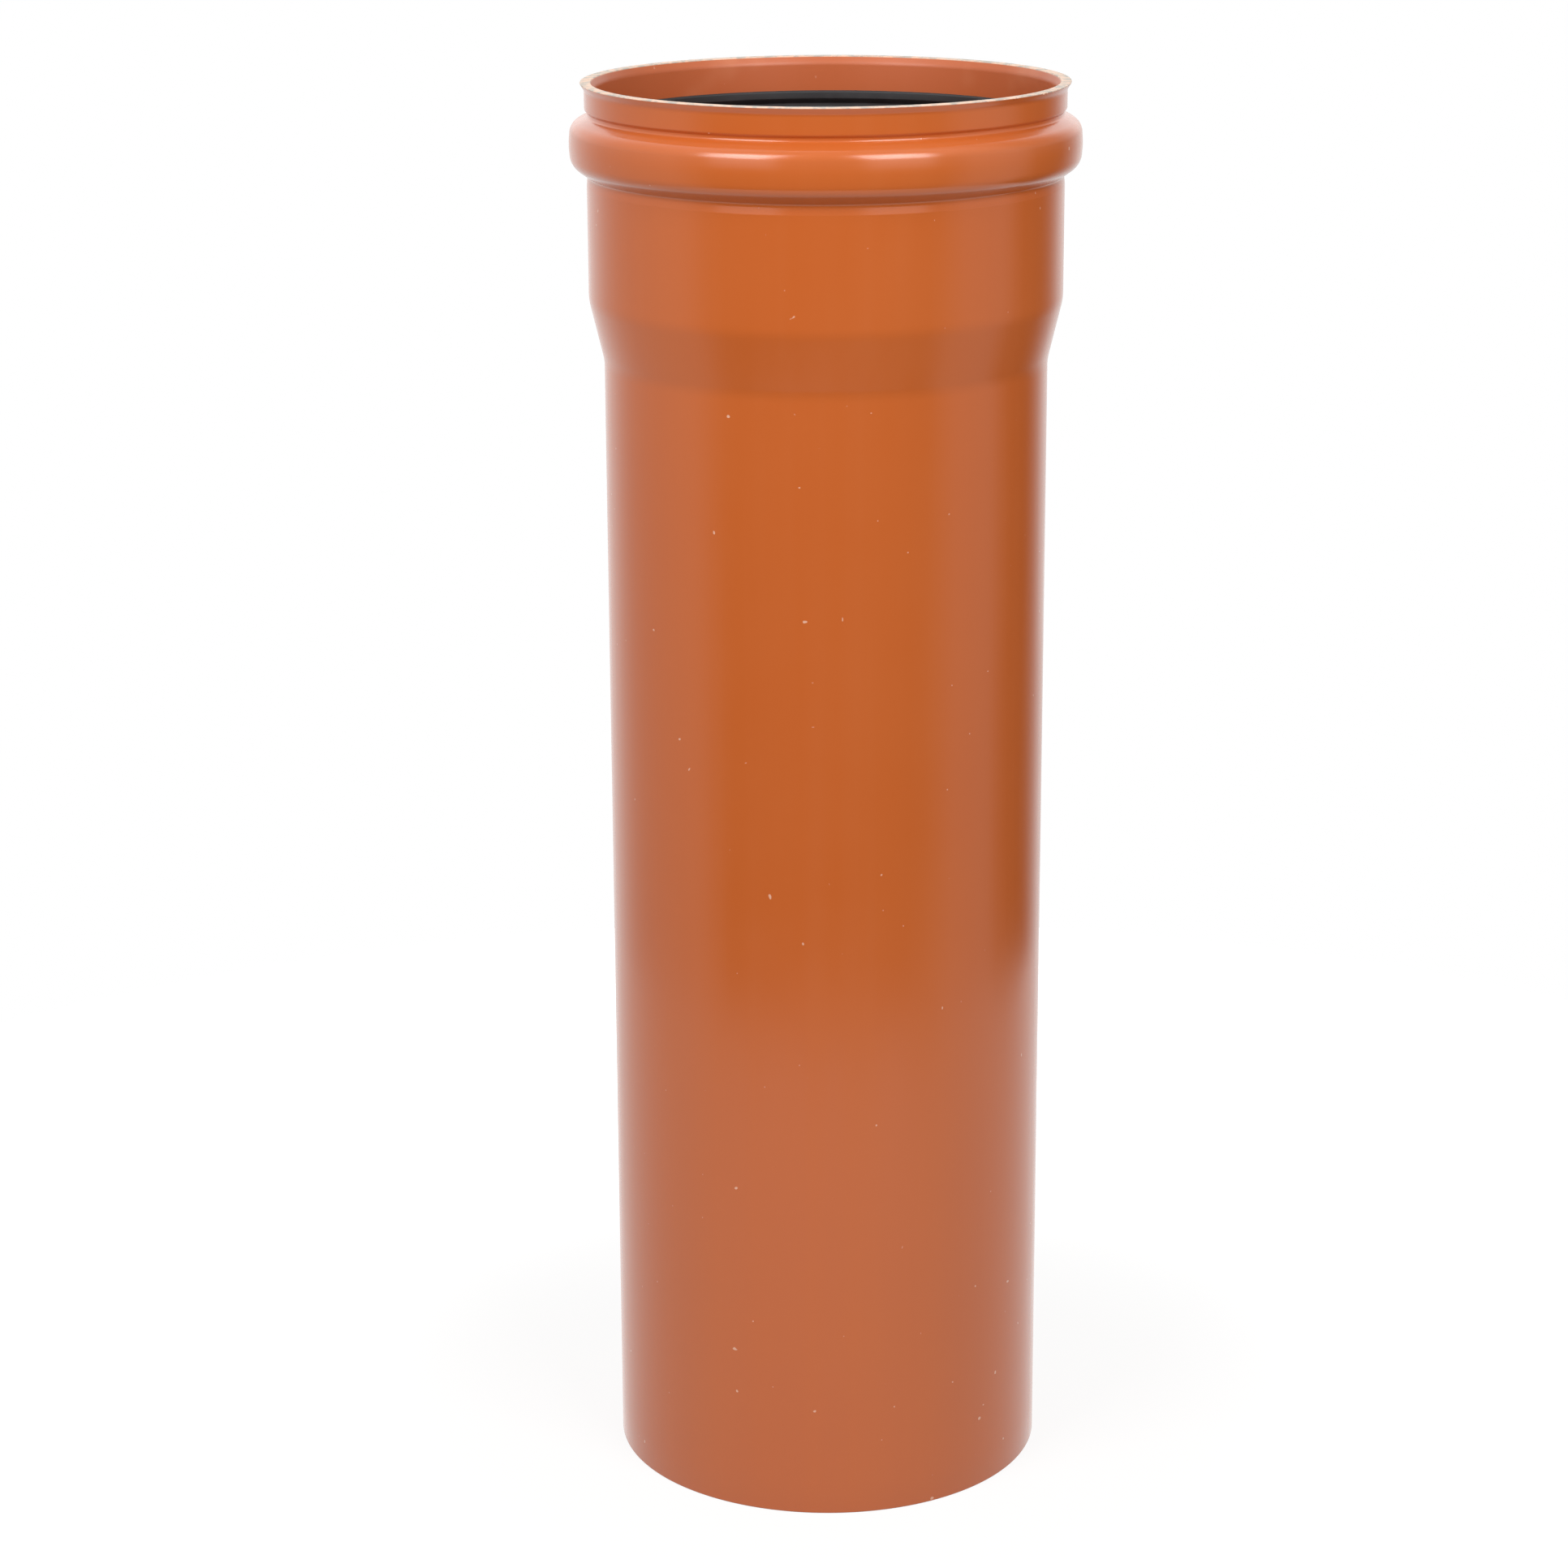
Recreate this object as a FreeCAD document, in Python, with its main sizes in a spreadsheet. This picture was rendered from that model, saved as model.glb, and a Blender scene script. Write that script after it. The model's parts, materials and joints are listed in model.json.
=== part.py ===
import FreeCAD, Part
import os
import Sketcher

# Drain and sewer pipe, DN/OD 160, standing on its spigot end with its ring-seal socket on top.
# Row frame: millimetres, +Z up along the axis, origin at the centre of the spigot's end face.

SIZES = {
    "pipe_diameter": 160.0,      # outside of the tube and the spigot
    "pipe_wall": 4.7,
    "pipe_length": 520.0,        # spigot end to rim
    "spigot_bevel": 0.6,         # broken outer edge of the cut end
    "socket_clearance": 0.75,    # radial room round a spigot in the socket
    "socket_wall": 4.5,
    "socket_depth": 77.0,        # rim to the start of the cone
    "cone_length": 22.0,
    "cone_blend": 20.0,          # radius that eases the cone into both tubes
    "mouth_clearance": 1.9,      # radial room round a spigot above the seal
    "mouth_wall": 3.85,
    "flare": 1.6,                # how far the rim opens outwards
    "flare_length": 2.6,
    "lip_length": 9.4,           # rim to the start of the neck
    "neck_dip": 1.0,             # how far the neck lies inside the lip
    "neck_run": 1.0,             # height of the slope from the lip to the neck
    "bead_from_rim": 11.6,
    "bead_length": 21.1,
    "bead_rise": 6.25,           # bead over the socket's outside
    "bead_wall": 3.6,
    "bead_upper_run": 3.2,       # height of the sloping upper flank
    "bead_lower_run": 4.2,       # height of the sloping lower flank
    "bead_shoulder": 5.5,        # upper edge radius
    "bead_heel": 7.0,            # lower edge radius
    "bead_root": 1.0,            # radius where the bead meets the tube
    "upper_web": 3.6,            # wall of the upper flank, measured along the axis
    "lower_web": 4.3,            # wall of the lower flank, measured along the axis
    "groove_corner": 1.2,        # edge radius inside the bead
    "seal_gap": 0.3,             # room between the ring and its groove
    "seal_standoff": 0.4,        # radial room between a spigot and the folded lip
    "nose_from_rim": 12.6,
    "nose_bevel": 0.5,
    "nose_length": 2.9,
    "hollow_depth": 2.0,         # hollow between the nose and the lip
    "hollow_length": 1.4,
    "hollow_slope": 1.8,
    "lip_lift": 2.3,             # the lip's free end above the groove's lower flank
    "lip_thickness": 1.4,
    "slit_width": 0.9,           # slit between the lip and the ring's body
    "slit_depth": 4.0,
}

# Radii, as expressions on the sheet
PIPE_OUTSIDE = "(sizes.pipe_diameter / 2)"
PIPE_INSIDE = f"({PIPE_OUTSIDE} - sizes.pipe_wall)"
SOCKET_INSIDE = f"({PIPE_OUTSIDE} + sizes.socket_clearance)"
SOCKET_OUTSIDE = f"({SOCKET_INSIDE} + sizes.socket_wall)"
BEAD_OUTSIDE = f"({SOCKET_OUTSIDE} + sizes.bead_rise)"
BEAD_INSIDE = f"({BEAD_OUTSIDE} - sizes.bead_wall)"
MOUTH_INSIDE = f"({PIPE_OUTSIDE} + sizes.mouth_clearance)"
MOUTH_OUTSIDE = f"({MOUTH_INSIDE} + sizes.mouth_wall)"
NECK_OUTSIDE = f"({MOUTH_OUTSIDE} - sizes.neck_dip)"

# Heights, as expressions on the sheet
RIM = "sizes.pipe_length"
FLARE_END = f"({RIM} - sizes.flare_length)"
LIP_END = f"({RIM} - sizes.lip_length)"
NECK_START = f"({LIP_END} - sizes.neck_run)"
BEAD_TOP = f"({RIM} - sizes.bead_from_rim)"
BEAD_UPPER = f"({BEAD_TOP} - sizes.bead_upper_run)"
BEAD_FOOT = f"({BEAD_TOP} - sizes.bead_length)"
BEAD_LOWER = f"({BEAD_FOOT} + sizes.bead_lower_run)"
CONE_TOP = f"({RIM} - sizes.socket_depth)"
CONE_END = f"({CONE_TOP} - sizes.cone_length)"

# Inside the bead the groove's flanks run parallel to the outside ones
UPPER_SLOPE = f"(sizes.bead_upper_run / ({BEAD_OUTSIDE} - {NECK_OUTSIDE}))"
LOWER_SLOPE = "(sizes.bead_lower_run / sizes.bead_rise)"


def upper_flank(radius):
    """Height of the groove's upper flank at a radius."""
    return f"({BEAD_UPPER} + {UPPER_SLOPE} * ({BEAD_OUTSIDE} - {radius}) - sizes.upper_web)"


def lower_flank(radius):
    """Height of the groove's lower flank at a radius."""
    return f"({BEAD_LOWER} - {LOWER_SLOPE} * ({BEAD_OUTSIDE} - {radius}) + sizes.lower_web)"


def make_sheet(doc):
    sheet = doc.addObject("Spreadsheet::Sheet", "sizes")
    for row, (alias, value) in enumerate(SIZES.items(), start=1):
        sheet.set(f"A{row}", alias)
        sheet.set(f"B{row}", str(value))
        sheet.setAlias(f"B{row}", alias)
    doc.recompute()


def make_body(doc, name):
    body = doc.addObject("PartDesign::Body", name)
    body.Label = name
    body.Placement = FreeCAD.Placement(FreeCAD.Vector(0, 0, 0), FreeCAD.Rotation())
    return body


def revolve_outline(body, outline):
    """Sketch a closed outline of radius and height pairs, and turn it about the pipe's axis."""
    sketch = body.newObject("Sketcher::SketchObject", body.Name + "_wall")
    plane = next(item for item in body.Origin.OriginFeatures if item.Role == "XZ_Plane")
    sketch.AttachmentSupport = [(plane, "")]
    sketch.MapMode = "FlatFace"
    places = [[float(sketch.evalExpression(size)) for size in point] for point in outline]
    last = len(outline) - 1
    for index, (here, there) in enumerate(zip(places, places[1:] + places[:1])):
        sketch.addGeometry(Part.LineSegment(FreeCAD.Vector(*here, 0), FreeCAD.Vector(*there, 0)))
        if index:
            sketch.addConstraint(Sketcher.Constraint("Coincident", index - 1, 2, index, 1))
    sketch.addConstraint(Sketcher.Constraint("Coincident", last, 2, 0, 1))
    for index, point in enumerate(outline):
        for kind, size, value in zip(("DistanceX", "DistanceY"), point, places[index]):
            if size == "0":
                sketch.addConstraint(Sketcher.Constraint("PointOnObject", index, 1, -1))
            else:
                number = sketch.addConstraint(Sketcher.Constraint(kind, -1, 1, index, 1, value))
                sketch.setExpression(f"Constraints[{number}]", size)
    turned = body.newObject("PartDesign::Revolution", body.Name + "_turned")
    turned.Profile = sketch
    turned.ReferenceAxis = (sketch, ["V_Axis"])
    turned.Angle = 360
    sketch.Visibility = False
    body.Document.recompute()
    return turned


def round_edges(body, name, radius, corners):
    """Fillet the round edges that pass through the given radius and height pairs."""
    base = body.Tip
    edges = []
    for corner in corners:
        ring, height = (float(base.evalExpression(size)) for size in corner)
        for number, edge in enumerate(base.Shape.Edges, start=1):
            if not isinstance(edge.Curve, Part.Circle):
                continue
            if abs(edge.Curve.Radius - ring) < 1e-4 and abs(edge.Curve.Center.z - height) < 1e-4:
                edges.append(f"Edge{number}")
    if len(edges) != len(corners):
        raise RuntimeError(f"{name}: {len(edges)} edges found for {len(corners)} corners")
    fillet = body.newObject("PartDesign::Fillet", name)
    fillet.Base = (base, edges)
    fillet.setExpression("Radius", radius)
    body.Document.recompute()


def make_pipe(doc):
    body = make_body(doc, "pipe")
    revolve_outline(body, [
        (PIPE_INSIDE, "0"),
        (f"({PIPE_OUTSIDE} - sizes.spigot_bevel)", "0"),
        (PIPE_OUTSIDE, "sizes.spigot_bevel"),
        (PIPE_OUTSIDE, CONE_END),
        (SOCKET_OUTSIDE, CONE_TOP),
        (SOCKET_OUTSIDE, BEAD_FOOT),
        (BEAD_OUTSIDE, BEAD_LOWER),
        (BEAD_OUTSIDE, BEAD_UPPER),
        (NECK_OUTSIDE, BEAD_TOP),
        (NECK_OUTSIDE, NECK_START),
        (MOUTH_OUTSIDE, LIP_END),
        (MOUTH_OUTSIDE, FLARE_END),
        (f"({MOUTH_OUTSIDE} + sizes.flare)", RIM),
        (f"({MOUTH_INSIDE} + sizes.flare)", RIM),
        (MOUTH_INSIDE, FLARE_END),
        (MOUTH_INSIDE, upper_flank(MOUTH_INSIDE)),
        (BEAD_INSIDE, upper_flank(BEAD_INSIDE)),
        (BEAD_INSIDE, lower_flank(BEAD_INSIDE)),
        (SOCKET_INSIDE, lower_flank(SOCKET_INSIDE)),
        (SOCKET_INSIDE, CONE_TOP),
        (PIPE_INSIDE, CONE_END),
    ])
    round_edges(body, "cone_blends", "sizes.cone_blend", [
        (SOCKET_OUTSIDE, CONE_TOP),
        (PIPE_OUTSIDE, CONE_END),
        (SOCKET_INSIDE, CONE_TOP),
        (PIPE_INSIDE, CONE_END),
    ])
    round_edges(body, "bead_shoulder", "sizes.bead_shoulder", [(BEAD_OUTSIDE, BEAD_UPPER)])
    round_edges(body, "bead_heel", "sizes.bead_heel", [(BEAD_OUTSIDE, BEAD_LOWER)])
    round_edges(body, "bead_roots", "sizes.bead_root", [
        (SOCKET_OUTSIDE, BEAD_FOOT),
        (NECK_OUTSIDE, BEAD_TOP),
        (MOUTH_OUTSIDE, LIP_END),
    ])
    round_edges(body, "groove_corners", "sizes.groove_corner", [
        (BEAD_INSIDE, upper_flank(BEAD_INSIDE)),
        (BEAD_INSIDE, lower_flank(BEAD_INSIDE)),
    ])
    return body


def make_ring(doc):
    body = make_body(doc, "sealing_ring")
    seat = f"({BEAD_INSIDE} - sizes.seal_gap)"
    bore = f"({PIPE_OUTSIDE} + sizes.seal_standoff)"
    nose_back = f"({MOUTH_INSIDE} - sizes.seal_gap)"
    nose_top = f"({RIM} - sizes.nose_from_rim)"
    nose_end = f"({nose_top} - sizes.nose_length)"
    hollow = f"({bore} + sizes.hollow_depth)"
    hollow_top = f"({nose_end} - sizes.hollow_slope)"
    hollow_end = f"({hollow_top} - sizes.hollow_length)"
    lip_start = f"({hollow_end} - sizes.hollow_slope)"
    lip_back = f"({bore} + sizes.lip_thickness)"
    lip_end = f"({lower_flank(lip_back)} + sizes.lip_lift)"
    slit_back = f"({lip_back} + sizes.slit_width)"
    revolve_outline(body, [
        (bore, f"({nose_top} - sizes.nose_bevel)"),
        (bore, nose_end),
        (hollow, hollow_top),
        (hollow, hollow_end),
        (bore, lip_start),
        (bore, lip_end),
        (lip_back, lip_end),
        (lip_back, f"({lip_end} + sizes.slit_depth)"),
        (slit_back, f"({lip_end} + sizes.slit_depth)"),
        (slit_back, f"({lower_flank(slit_back)} + sizes.seal_gap)"),
        (seat, f"({lower_flank(seat)} + sizes.seal_gap)"),
        (seat, f"({upper_flank(seat)} - sizes.seal_gap)"),
        (nose_back, f"({upper_flank(nose_back)} - sizes.seal_gap)"),
        (nose_back, nose_top),
        (f"({bore} + sizes.nose_bevel)", nose_top),
    ])
    round_edges(body, "seat_corners", "sizes.groove_corner", [
        (seat, f"({lower_flank(seat)} + sizes.seal_gap)"),
        (seat, f"({upper_flank(seat)} - sizes.seal_gap)"),
    ])
    return body


def write_part(doc, bodies):
    for item in doc.Objects:
        if {"Invalid", "Error"} & set(item.State):
            raise RuntimeError(f"{item.Name} failed: {item.State}")
    for body in bodies:
        if body.Shape.isNull() or not body.Shape.isValid():
            raise RuntimeError(f"{body.Label} has no valid shape")
    os.makedirs("parts", exist_ok=True)
    for body in bodies:
        body.Shape.exportStep(f"parts/{body.Label}.step")
        print(body.Label, "volume", round(body.Shape.Volume), "mm3")


doc = FreeCAD.newDocument("sewer_pipe")
make_sheet(doc)
bodies = [make_pipe(doc), make_ring(doc)]
doc.recompute()
write_part(doc, bodies)
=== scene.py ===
import json
import math
import bpy
from mathutils import Matrix, Vector


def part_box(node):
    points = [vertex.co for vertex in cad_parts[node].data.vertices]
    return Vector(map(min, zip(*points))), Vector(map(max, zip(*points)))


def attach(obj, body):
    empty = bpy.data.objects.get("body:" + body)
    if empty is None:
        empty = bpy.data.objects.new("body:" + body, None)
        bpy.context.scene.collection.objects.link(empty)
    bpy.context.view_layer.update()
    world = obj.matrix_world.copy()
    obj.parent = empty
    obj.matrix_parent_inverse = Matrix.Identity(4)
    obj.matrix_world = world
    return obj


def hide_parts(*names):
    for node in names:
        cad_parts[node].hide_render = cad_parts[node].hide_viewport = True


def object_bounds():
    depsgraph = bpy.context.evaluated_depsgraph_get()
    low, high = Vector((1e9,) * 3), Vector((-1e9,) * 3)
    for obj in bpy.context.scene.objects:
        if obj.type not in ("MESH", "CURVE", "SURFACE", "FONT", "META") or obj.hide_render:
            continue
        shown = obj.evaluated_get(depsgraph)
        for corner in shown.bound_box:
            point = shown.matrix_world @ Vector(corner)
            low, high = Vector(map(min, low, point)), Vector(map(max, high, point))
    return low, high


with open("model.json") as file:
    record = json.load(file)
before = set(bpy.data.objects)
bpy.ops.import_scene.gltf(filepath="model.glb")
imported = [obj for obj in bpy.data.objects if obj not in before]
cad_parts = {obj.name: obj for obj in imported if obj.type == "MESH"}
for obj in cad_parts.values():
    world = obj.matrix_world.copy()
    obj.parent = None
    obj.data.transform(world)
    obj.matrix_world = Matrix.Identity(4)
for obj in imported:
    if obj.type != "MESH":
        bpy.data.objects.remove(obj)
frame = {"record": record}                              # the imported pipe: its solids, sizes and mounts
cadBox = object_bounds()
mm = 0.001
mounts = {mount["name"]: mount["dims"] for mount in frame["record"]["mounts"]}
ringLow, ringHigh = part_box("sealing_ring")


def paint(red, green, blue):
    # a colour as a chart gives it, 0 to 255, in the linear light that nodes work in
    def linear(value):
        value = value / 255
        return value / 12.92 if value <= 0.04045 else ((value + 0.055) / 1.055) ** 2.4
    return (linear(red), linear(green), linear(blue), 1)


class Wire:
    # a node's output that can stand in a sum, on either side of a plain number
    def __init__(self, net, socket):
        self.net = net
        self.socket = socket

    def __getitem__(self, name):               # another output of the same node
        return Wire(self.net, self.socket.node.outputs[name])

    def maths(self, operation, *values):
        return self.net.add("ShaderNodeMath", {"operation": operation}, dict(enumerate(values)))

    def __add__(self, other):
        return self.maths("ADD", self, other)

    def __sub__(self, other):
        return self.maths("SUBTRACT", self, other)

    def __rsub__(self, other):
        return self.maths("SUBTRACT", other, self)

    def __mul__(self, other):
        return self.maths("MULTIPLY", self, other)

    def __truediv__(self, other):
        return self.maths("DIVIDE", self, other)

    __radd__ = __add__
    __rmul__ = __mul__


class Net:
    # a node tree that grows one node at a time
    def __init__(self, tree):
        self.tree = tree

    def add(self, kind, settings=None, inputs=None, out=0):
        node = self.tree.nodes.new(kind)
        for name, value in (settings or {}).items():
            setattr(node, name, value)
        for name, value in (inputs or {}).items():
            if not isinstance(value, (Wire, list)):
                node.inputs[name].default_value = value
                continue
            for wire in value if isinstance(value, list) else [value]:
                self.tree.links.new(wire.socket, node.inputs[name])
        return Wire(self, node.outputs[out]) if len(node.outputs) else None

    def mix(self, factor, first, second):
        return self.add("ShaderNodeMix", {"data_type": "RGBA"}, {0: factor, 6: first, 7: second}, 2)

    def rise(self, value, low, high):          # 0 below low, 1 above high, eased between
        return self.add("ShaderNodeMapRange", {"interpolation_type": "SMOOTHSTEP"},
                        {"Value": value, "From Min": low, "From Max": high})

    def random(self, low, high, seed):
        return self.add("FunctionNodeRandomValue", {"data_type": "FLOAT_VECTOR"},
                        {0: low, 1: high, "Seed": seed})

    def noise(self, place, scale, detail=2, roughness=0.5):
        return self.add("ShaderNodeTexNoise", {},
                        {"Vector": place, "Scale": scale, "Detail": detail, "Roughness": roughness}, "Fac")


def newMaterial(name):
    material = bpy.data.materials.new(name)
    material.use_nodes = True
    material.node_tree.nodes.clear()
    return material, Net(material.node_tree)


def newObject(name, mesh):
    piece = bpy.data.objects.new(name, mesh)
    bpy.context.scene.collection.objects.link(piece)
    return piece


# ---- materials

pvcLook = {
    "body": (192, 95, 40),                     # drain orange, as extruded
    "pale": (197, 104, 50),                    # chalkier streaks along the tube
    "inside": (178, 92, 54),                   # painted shade: the wall inside the socket darkened where less light reaches it
    "haze": (222, 150, 112),                   # pale blotches inside the socket: partly wiped smears, partly a painted sheen
    "speck": (246, 214, 190),
    "roughness": 0.16,
    "streaks": 90,                             # streaks in a metre round the tube
    "streakStretch": 0.02,                     # how slowly a streak changes along the tube
    "cutCream": (232, 198, 174),               # sawn edge
    "cutGrey": (178, 171, 160),
    "cutDepth": 0.45,                          # mm of edge that the saw left pale
}


def orangePvc():
    look = pvcLook
    material, net = newMaterial("orangePvc")
    place = net.add("ShaderNodeTexCoord", out="Object")
    parts = net.add("ShaderNodeSeparateXYZ", {}, {"Vector": place})
    height = parts["Z"]
    drawn = net.add("ShaderNodeMapping", {}, {"Vector": place, "Scale": (1, 1, look["streakStretch"])})
    streak = net.rise(net.noise(drawn, look["streaks"], 3, 0.6), 0.35, 0.75)
    broad = net.rise(net.noise(drawn, look["streaks"] / 6, 2), 0.35, 0.7)
    cloud = net.rise(net.noise(place, 22, 3), 0.3, 0.8)
    body = net.mix(streak * 0.12 + broad * 0.2 + cloud * 0.15, paint(*look["body"]), paint(*look["pale"]))
    speck = net.rise(net.noise(place, 420, 0), 0.87, 0.9)
    body = net.mix(speck * 0.5, body, paint(*look["speck"]))
    level = net.add("ShaderNodeCombineXYZ", {}, {"X": parts["X"], "Y": parts["Y"]})
    radius = net.add("ShaderNodeVectorMath", {"operation": "LENGTH"}, {0: level}, "Value")
    within = (1 - net.rise(radius, 83 * mm, 83.6 * mm)) * net.rise(height, 490 * mm, 492 * mm)
    # painted shade: darkens the wall inside the socket, in place of the light that doesn't reach it
    body = net.mix(within * 0.7, body, paint(*look["inside"]))
    # pale blotches inside the socket: partly smears, partly a painted sheen of reflected light
    body = net.mix(within * net.rise(net.noise(place, 40, 2), 0.5, 0.8) * 0.3, body, paint(*look["haze"]))

    rim = net.rise(height, cadBox[1].z - look["cutDepth"] * mm, cadBox[1].z - look["cutDepth"] * 0.4 * mm)
    foot = 1 - net.rise(height, 0.1 * mm, 0.3 * mm)
    cut = rim.maths("MAXIMUM", rim, foot)
    sawn = net.mix(net.rise(net.noise(place, 260, 4, 0.6), 0.4, 0.62),
                   paint(*look["cutCream"]), paint(*look["cutGrey"]))
    colour = net.mix(cut, body, sawn)

    gloss = look["roughness"] + streak * 0.05 + cloud * 0.04 + cut * 0.35 + within * 0.25
    grain = net.noise(place, 2600, 2) * 0.25 + net.noise(drawn, 900, 2)
    bump = net.add("ShaderNodeBump", {}, {"Strength": 0.05, "Distance": 0.05 * mm, "Height": grain}, "Normal")
    shader = net.add("ShaderNodeBsdfPrincipled", {}, {
        "Base Color": colour, "Roughness": gloss, "IOR": 1.5, "Normal": bump})
    net.add("ShaderNodeOutputMaterial", {}, {"Surface": shader})
    return material


rubberLook = {
    "body": (26, 26, 28),
    "bloom": (50, 48, 50),                     # dusty bloom on the moulded face
    "roughness": 0.55,
}


def blackRubber():
    look = rubberLook
    material, net = newMaterial("blackRubber")
    place = net.add("ShaderNodeTexCoord", out="Object")
    bloom = net.rise(net.noise(place, 90, 4, 0.6), 0.45, 0.8)
    grain = net.noise(place, 3000, 2)
    bump = net.add("ShaderNodeBump", {}, {"Strength": 0.2, "Distance": 0.05 * mm, "Height": grain}, "Normal")
    shader = net.add("ShaderNodeBsdfPrincipled", {}, {
        "Base Color": net.mix(bloom * 0.5, paint(*look["body"]), paint(*look["bloom"])),
        "Roughness": look["roughness"] + bloom * 0.15, "Normal": bump})
    net.add("ShaderNodeOutputMaterial", {}, {"Surface": shader})
    return material


# ---- turned walls

def turningTree():
    # sweeps a closed outline round the pipe's axis and eases its corners on the way
    tree = bpy.data.node_groups.new("turnOutline", "GeometryNodeTree")
    for name, kind in (("Outline", "Geometry"), ("Middle Radius", "Float"), ("Segments", "Int"),
                       ("Easing Steps", "Int"), ("Material", "Material")):
        tree.interface.new_socket(name, in_out="INPUT", socket_type="NodeSocket" + kind)
    tree.interface.new_socket("Wall", in_out="OUTPUT", socket_type="NodeSocketGeometry")
    net = Net(tree)
    sizes = net.add("NodeGroupInput")
    easing = net.add("GeometryNodeInputNamedAttribute", {"data_type": "FLOAT"}, {"Name": "easing"})
    outline = net.add("GeometryNodeMeshToCurve", {}, {"Mesh": sizes["Outline"]})
    eased = net.add("GeometryNodeFilletCurve", {"mode": "POLY"}, {
        "Curve": outline, "Count": sizes["Easing Steps"], "Radius": easing, "Limit Radius": True})
    path = net.add("GeometryNodeCurvePrimitiveCircle", {}, {
        "Resolution": sizes["Segments"], "Radius": sizes["Middle Radius"]})
    wall = net.add("GeometryNodeCurveToMesh", {}, {"Curve": path, "Profile Curve": eased})
    smooth = net.add("GeometryNodeSetShadeSmooth", {}, {"Geometry": wall, "Shade Smooth": True})
    real = net.add("GeometryNodeRealizeInstances", {}, {"Geometry": smooth})
    done = net.add("GeometryNodeSetMaterial", {}, {"Geometry": real, "Material": sizes["Material"]})
    net.add("NodeGroupOutput", {}, {"Wall": done})
    return tree


def burrTree():
    # scatters crumbs of plastic along a stretch of the sawn edge
    tree = bpy.data.node_groups.new("sawBurrs", "GeometryNodeTree")
    for name, kind in (("Wall", "Geometry"), ("Edge Radius", "Float"), ("Edge Height", "Float"),
                       ("Start", "Float"), ("Sweep", "Float"), ("Count", "Int"), ("Crumb Size", "Float"),
                       ("Seed", "Int"), ("Material", "Material")):
        tree.interface.new_socket(name, in_out="INPUT", socket_type="NodeSocket" + kind)
    tree.interface.new_socket("Burred Wall", in_out="OUTPUT", socket_type="NodeSocketGeometry")
    net = Net(tree)
    sizes = net.add("NodeGroupInput")
    seed = sizes["Seed"]
    arc = net.add("GeometryNodeCurveArc", {"mode": "RADIUS"}, {
        "Resolution": sizes["Count"], "Radius": sizes["Edge Radius"],
        "Start Angle": sizes["Start"], "Sweep Angle": sizes["Sweep"]})
    points = net.add("GeometryNodeCurveToPoints", {"mode": "EVALUATED"}, {"Curve": arc})
    lift = net.add("ShaderNodeCombineXYZ", {}, {"Z": sizes["Edge Height"]})
    spread = net.random((-1.6 * mm, -1.6 * mm, -0.35 * mm), (1.6 * mm, 1.6 * mm, -0.1 * mm), seed)
    shift = net.add("ShaderNodeVectorMath", {"operation": "ADD"}, {0: lift, 1: spread})
    placed = net.add("GeometryNodeSetPosition", {}, {"Geometry": points, "Offset": shift})
    crumb = net.add("GeometryNodeMeshIcoSphere", {}, {"Radius": sizes["Crumb Size"], "Subdivisions": 1})
    crumbs = net.add("GeometryNodeInstanceOnPoints", {}, {
        "Points": placed, "Instance": crumb,
        "Rotation": net.random((0, 0, 0), (6.28, 6.28, 6.28), seed + 1),
        "Scale": net.random((0.4, 0.4, 0.3), (1.3, 1, 0.8), seed + 2)})
    both = net.add("GeometryNodeJoinGeometry", {}, {"Geometry": [sizes["Wall"], crumbs]})
    real = net.add("GeometryNodeRealizeInstances", {}, {"Geometry": both})
    done = net.add("GeometryNodeSetMaterial", {}, {"Geometry": real, "Material": sizes["Material"]})
    net.add("NodeGroupOutput", {}, {"Burred Wall": done})
    return tree


def shapeBy(piece, tree, inputs):
    # runs a node tree on the piece and keeps what comes out as its mesh
    modifier = piece.modifiers.new("shape", "NODES")
    modifier.node_group = tree
    for label, value in inputs.items():
        socket = next(item for item in tree.interface.items_tree
                      if item.name == label and item.in_out == "INPUT")
        modifier[socket.identifier] = value
    shaped = piece.evaluated_get(bpy.context.evaluated_depsgraph_get())
    piece.data = bpy.data.meshes.new_from_object(shaped)
    piece.data.name = piece.name
    piece.modifiers.clear()


def turn(name, outline, middle, tree, segments, steps, material):
    # outline: radius, height and corner easing of each point, all in mm, walked once round the wall
    mesh = bpy.data.meshes.new(name)
    count = len(outline)
    mesh.from_pydata([((radius - middle) * mm, -height * mm, 0) for radius, height, _ in outline],
                     [(index, (index + 1) % count) for index in range(count)], [])
    easing = mesh.attributes.new("easing", "FLOAT", "POINT")
    easing.data.foreach_set("value", [ease * mm for _, _, ease in outline])
    piece = newObject(name, mesh)
    shapeBy(piece, tree, {"Middle Radius": middle * mm, "Segments": segments, "Easing Steps": steps,
                          "Material": material})
    return piece


def stretch(radius, start, end, step):
    # evenly spaced points along a straight wall, ends left out
    count = max(1, round(abs(end - start) / step))
    return [(radius, start + (end - start) * index / count, 0) for index in range(1, count)]


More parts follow.
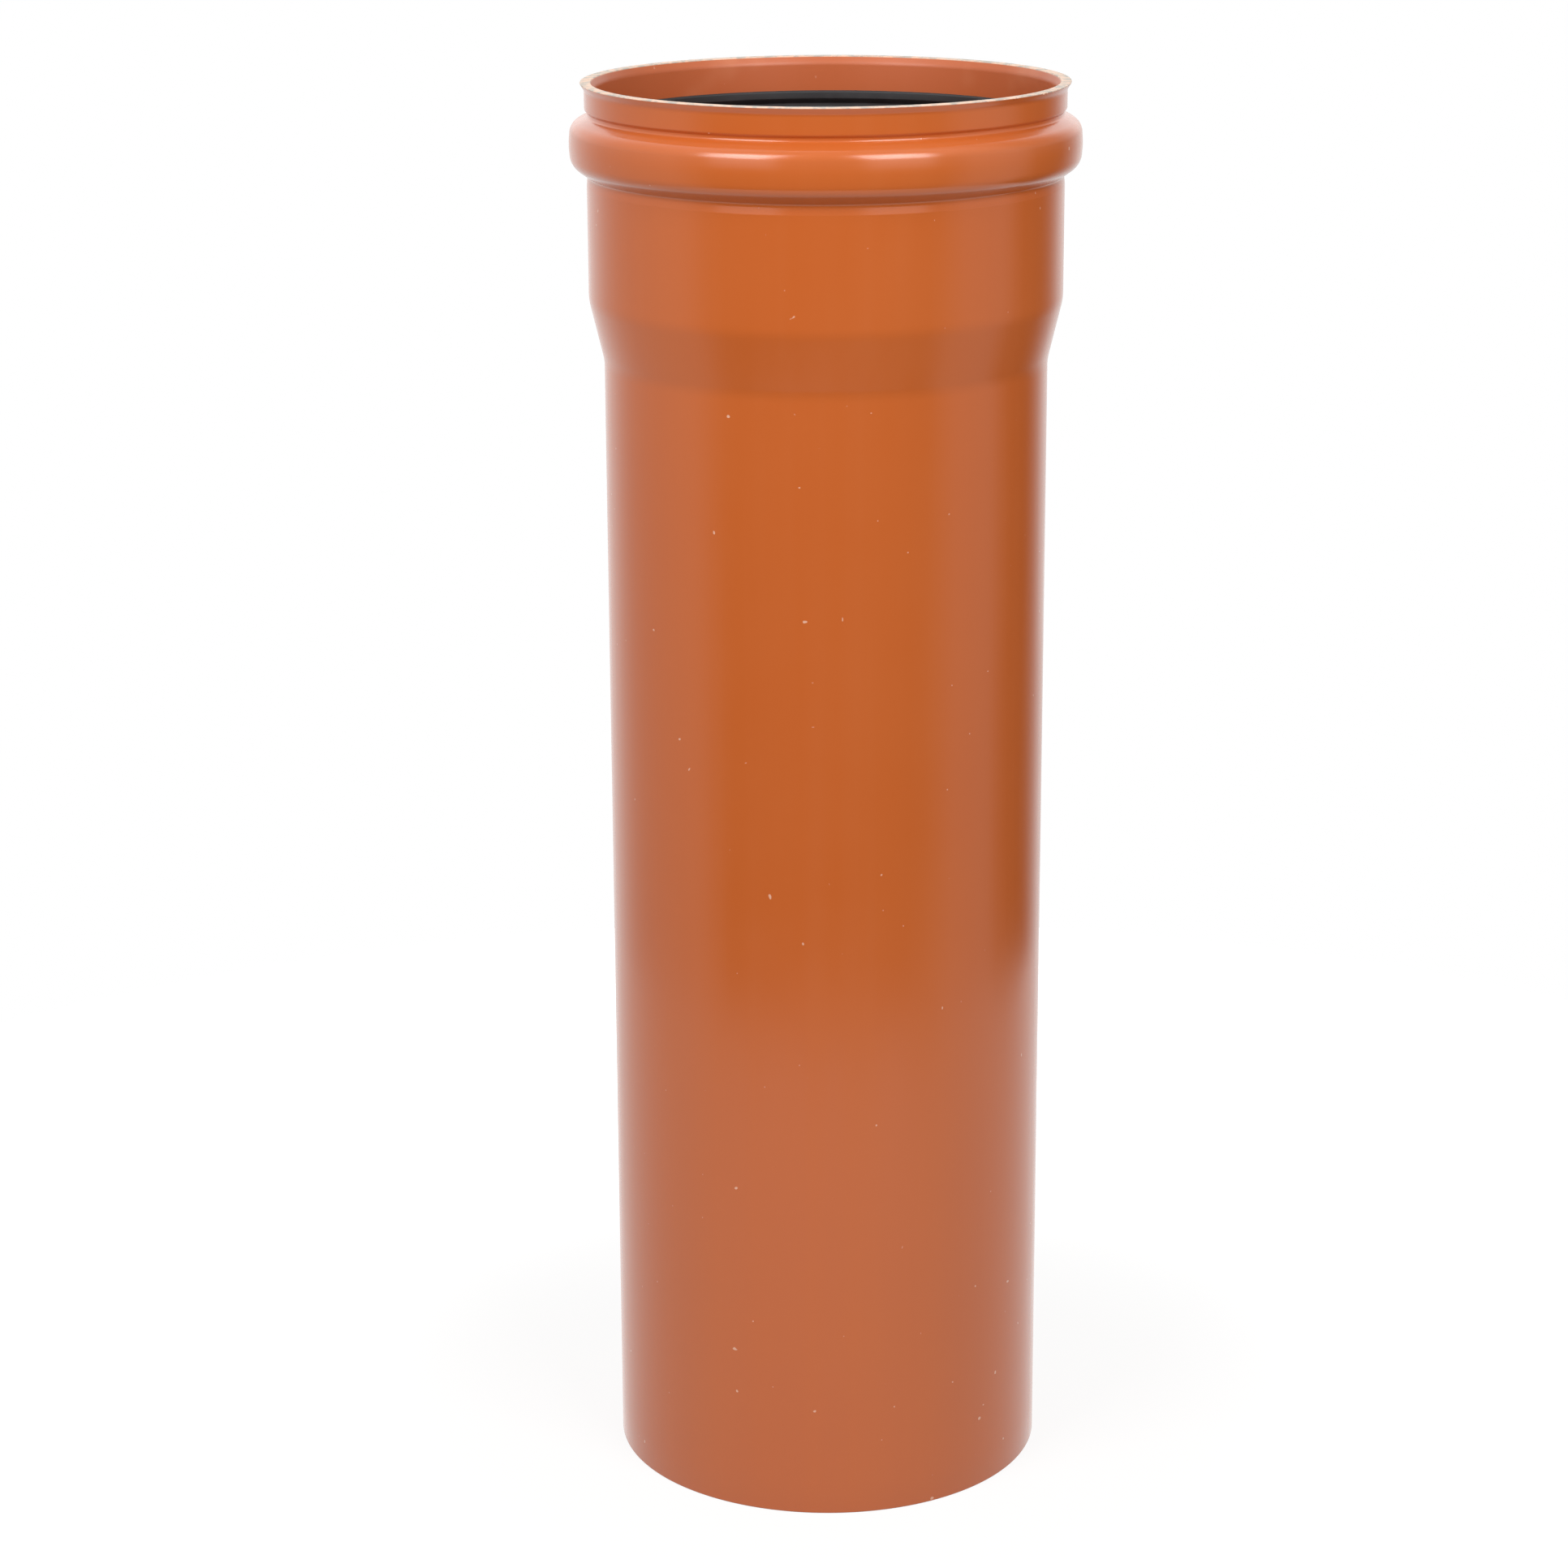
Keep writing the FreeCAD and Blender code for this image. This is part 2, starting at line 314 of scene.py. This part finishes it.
pipeSizes = {                                  # mm
    "outside": mounts["spigot"]["r_mm"],
    "inside": mounts["waterway"]["r_mm"],
    "socketInside": mounts["socket"]["r_mm"],
    "bead": cadBox[1].x / mm,
    "length": cadBox[1].z / mm,
    "socketWall": 4.5,
    "socketDepth": 77,
    "coneLength": 22,
    "coneEase": 20,
    "mouthInside": 81.9,
    "mouthWall": 3.85,
    "flare": 1.6,
    "flareLength": 2.6,
    "lipLength": 9.4,
    "neckDip": 1,
    "neckRun": 1,
    "beadFromRim": 11.6,
    "beadLength": 21.1,
    "beadWall": 3.6,
    "upperRun": 3.2,
    "upperWeb": 3.6,
    "lowerRun": 4.2,
    "lowerWeb": 4.3,
    "crown": 0.6,                              # how much the bead's face bulges
    "footDip": 0.25,                           # shallow hollow pinched in just below the bead
    "step": 14,                                # spacing of the points along straight walls
    "segments": 400,
    "easingSteps": 7,
}


def pipeOutline():
    s = pipeSizes
    rim = s["length"]
    socketOut = s["socketInside"] + s["socketWall"]
    lipOut = s["mouthInside"] + s["mouthWall"]
    neck = lipOut - s["neckDip"]
    lipEnd = rim - s["lipLength"]
    beadTop = rim - s["beadFromRim"]
    beadFoot = beadTop - s["beadLength"]
    coneTop = rim - s["socketDepth"]
    coneEnd = coneTop - s["coneLength"]
    grooveOut = s["bead"] - s["beadWall"]
    upperSlope = s["upperRun"] / (s["bead"] - neck)
    lowerSlope = s["lowerRun"] / (s["bead"] - socketOut)

    def upperFlank(radius):
        return beadTop - s["upperRun"] + upperSlope * (s["bead"] - radius) - s["upperWeb"]

    def lowerFlank(radius):
        return beadFoot + s["lowerRun"] - lowerSlope * (s["bead"] - radius) + s["lowerWeb"]

    return [
        (s["inside"], 0, 0.3),
        (s["outside"], 0, 0.6),
        *stretch(s["outside"], 0, coneEnd - 3, s["step"]),
        (s["outside"], coneEnd, s["coneEase"]),
        (socketOut, coneTop, s["coneEase"]),
        *stretch(socketOut, coneTop + 3, beadFoot - 4, s["step"]),
        (socketOut, beadFoot - 3.5, 3),
        (socketOut - s["footDip"], beadFoot - 1, 1.2),
        (socketOut - s["footDip"], beadFoot, 1.2),
        (s["bead"] - s["crown"], beadFoot + s["lowerRun"], 6),
        (s["bead"], beadFoot + 11, 30),
        (s["bead"] - s["crown"], beadTop - s["upperRun"], 5),
        (neck, beadTop, 1),
        (neck, lipEnd - s["neckRun"], 0.8),
        (lipOut, lipEnd, 1),
        (lipOut, rim - s["flareLength"], 3),
        (lipOut + s["flare"], rim, 0.25),
        (s["mouthInside"] + s["flare"], rim, 0.35),
        (s["mouthInside"], rim - s["flareLength"], 3),
        (s["mouthInside"], upperFlank(s["mouthInside"]), 0.4),
        (grooveOut, upperFlank(grooveOut), 1.2),
        (grooveOut, lowerFlank(grooveOut), 1.2),
        (s["socketInside"], lowerFlank(s["socketInside"]), 1.5),
        *stretch(s["socketInside"], beadFoot, coneTop + 3, s["step"]),
        (s["socketInside"], coneTop, s["coneEase"]),
        (s["inside"], coneEnd, s["coneEase"]),
        *stretch(s["inside"], coneEnd - 3, 0, s["step"]),
    ]


ringSizes = {                                  # mm
    "bore": 80.4,
    "seat": ringHigh.x / mm,
    "top": ringHigh.z / mm,
    "foot": ringLow.z / mm,
    "segments": 400,
    "easingSteps": 5,
}


def ringOutline():
    s = ringSizes
    top = s["top"]
    return [
        (s["bore"], top - 0.5, 0.3),
        (s["bore"], top - 2.9, 0.5),
        (s["bore"] + 2, top - 4.7, 0.7),
        (s["bore"] + 2, top - 6.1, 0.7),
        (s["bore"], top - 7.9, 0.6),
        (s["bore"], s["foot"] + 1.4, 0.5),
        (s["bore"] + 1.4, s["foot"] + 1.4, 0.5),
        (s["bore"] + 1.4, s["foot"] + 5.4, 0.4),
        (s["bore"] + 2.3, s["foot"] + 5.4, 0.4),
        (s["bore"] + 2.3, s["foot"], 0.3),
        (s["seat"], s["foot"] + 3.3, 1.2),
        (s["seat"], top - 4.25, 1.2),
        (s["bore"] + 1.2, top - 1.4, 0.2),
        (s["bore"] + 1.2, top, 0.2),
        (s["bore"] + 0.5, top, 0.3),
    ]


burrs = {
    "start": -58,                              # degrees round the rim
    "sweep": 38,
    "count": 34,
    "size": 0.32,                              # mm
    "seed": 7,
}


def makePieces():
    tree = turningTree()
    sizes = pipeSizes
    pvc = orangePvc()
    pipe = turn("sewerPipe", pipeOutline(), sizes["outside"], tree, sizes["segments"],
                sizes["easingSteps"], pvc)
    edge = sizes["mouthInside"] + sizes["mouthWall"] + sizes["flare"]
    shapeBy(pipe, burrTree(), {
        "Edge Radius": (edge - 1) * mm, "Edge Height": sizes["length"] * mm,
        "Start": math.radians(burrs["start"]), "Sweep": math.radians(burrs["sweep"]),
        "Count": burrs["count"], "Crumb Size": burrs["size"] * mm, "Seed": burrs["seed"], "Material": pvc})
    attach(pipe, "root")
    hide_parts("pipe")
    sizes = ringSizes
    ring = turn("lipRing", ringOutline(), sizes["bore"], tree, sizes["segments"],
                sizes["easingSteps"], blackRubber())
    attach(ring, "root")
    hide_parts("sealing_ring")
    for piece in (pipe, ring):
        print(piece.name, len(piece.data.polygons), "faces")


# ---- studio

studio = {
    "floorRadius": 0.62,
    "floorColour": (176, 175, 174),            # what the floor throws back on the pipe
    "floorWhite": 1.25,                        # what the camera and the gloss see of it
    "floorNear": 0.7,                          # its share close to the pipe, where the shadow lies
    "floorGloss": 0.9,
    "boxes": ((-42, 37), (34, 37)),            # degrees right of the camera, degrees up
    "boxDistance": 1.5,
    "boxSize": 0.7,
    "boxRadiance": 7.6,
    "ambient": 0.45,
    "overhead": 0.1,                           # how much brighter the room is above
    "dark": 0.03,
    "leftWhite": 0.75,
    "leftBackWhite": 0.35,
    "rightWhite": 0.65,
    "rightBackWhite": 1.05,
    "wallWhite": 0.4,                          # all round, above the horizon
    "ceilingWhite": 0.35,
    "glow": 5.0,                               # wide sheen round the softboxes
}


def makeFloor():
    size = studio["floorRadius"]
    mesh = bpy.data.meshes.new("floor")
    ring = [(size * math.cos(math.tau * k / 96), size * math.sin(math.tau * k / 96), 0) for k in range(96)]
    mesh.from_pydata(ring, [], [list(range(96))])
    floor = newObject("floor", mesh)
    material, net = newMaterial("paleFloor")
    place = net.add("ShaderNodeTexCoord", out="Object")
    reach = net.add("ShaderNodeVectorMath", {"operation": "LENGTH"}, {0: place}, "Value")
    rays = net.add("ShaderNodeLightPath")
    lit = net.add("ShaderNodeBsdfDiffuse", {}, {"Color": paint(*studio["floorColour"])})
    white = net.add("ShaderNodeEmission", {}, {"Color": (1, 1, 1, 1), "Strength": studio["floorWhite"]})
    away = net.rise(reach, size * 0.2, size * 0.8)
    near = studio["floorNear"]
    seen = rays["Is Camera Ray"] * (near + away * (1 - near)) + rays["Is Glossy Ray"] * studio["floorGloss"]
    done = net.add("ShaderNodeMixShader", {}, {0: seen, 1: lit, 2: white})
    net.add("ShaderNodeOutputMaterial", {}, {"Surface": done})
    mesh.materials.append(material)


def makeWorld():
    # white to the camera, and to the gloss a studio with white walls at its sides and back
    world = bpy.data.worlds.new("studio")
    world.use_nodes = True
    world.node_tree.nodes.clear()
    bpy.context.scene.world = world
    net = Net(world.node_tree)
    rays = net.add("ShaderNodeLightPath")
    way = net.add("ShaderNodeTexCoord", out="Generated")
    parts = net.add("ShaderNodeSeparateXYZ", {}, {"Vector": way})
    right = parts["X"].maths("ARCTAN2", parts["X"], 0 - parts["Y"])      # round to the right of the camera
    up = parts["Z"].maths("ARCSINE", parts["Z"])

    def band(angle, start, full):
        return net.rise(angle, math.radians(start), math.radians(full))

    left = 0 - right
    room = studio["dark"] + band(left, 50, 75) * studio["leftWhite"] + band(left, 110, 150) * studio["leftBackWhite"]
    room = room + band(right, 52, 72) * (1 - band(right, 90, 110)) * studio["rightWhite"]
    room = room + band(right, 124, 160) * studio["rightBackWhite"]
    room = room + band(up, -6, 8) * studio["wallWhite"] + band(up, 30, 70) * studio["ceilingWhite"]
    sheen = band(left, 19, 25) * (1 - band(left, 50, 56)) + band(right, 15, 21) * (1 - band(right, 46, 52))
    tall = band(up, -5, 8) * 0.4 + band(up, 20, 48) * 0.6 - band(up, 54, 60)
    room = room + sheen * tall * studio["glow"]
    glossy = rays["Is Glossy Ray"]
    level = glossy * room + (1 - glossy) * (parts["Z"] * studio["overhead"] + 1) * studio["ambient"]
    camera = rays["Is Camera Ray"]
    level = level * (1 - camera) + camera
    light = net.add("ShaderNodeBackground", {}, {"Color": (1, 1, 1, 1), "Strength": level})
    net.add("ShaderNodeOutputWorld", {}, {"Surface": light})


def makeLights():
    target = Vector((0, 0, 0.35))
    for number, (across, up) in enumerate(studio["boxes"]):
        across, up = math.radians(across), math.radians(up)
        away = Vector((math.sin(across) * math.cos(up), -math.cos(across) * math.cos(up), math.sin(up)))
        light = bpy.data.lights.new(f"softbox{number}", "AREA")
        light.shape = "SQUARE"
        light.size = studio["boxSize"]
        light.energy = studio["boxRadiance"] * math.pi * studio["boxSize"] ** 2
        lamp = newObject(light.name, light)
        facing = away.to_track_quat("Z", "Y").to_matrix().to_4x4()
        lamp.matrix_world = Matrix.Translation(target + away * studio["boxDistance"]) @ facing


cameraPlace = {                                # metres and degrees
    "distance": 1.3978,
    "height": 0.6694,
    "pitch": 16.333,                           # looking down
    "yaw": 0.651,                              # turned left
    "roll": -0.266,
    "lens": 89.55,
}


def makeCamera():
    lens = bpy.data.cameras.new("camera")
    lens.lens = cameraPlace["lens"]
    lens.sensor_width = 36
    lens.clip_start = 0.01
    camera = newObject("camera", lens)
    level = Matrix.Rotation(math.radians(cameraPlace["yaw"]), 4, "Z")
    tilt = Matrix.Rotation(math.radians(90 - cameraPlace["pitch"]), 4, "X")
    roll = Matrix.Rotation(math.radians(cameraPlace["roll"]), 4, "Z")
    place = Matrix.Translation((0, -cameraPlace["distance"], cameraPlace["height"]))
    camera.matrix_world = place @ level @ tilt @ roll
    bpy.context.scene.camera = camera


print("pipe and ring")
makePieces()
print("studio")
makeFloor()
makeWorld()
makeLights()
makeCamera()
bpy.context.scene.view_settings.view_transform = "Standard"
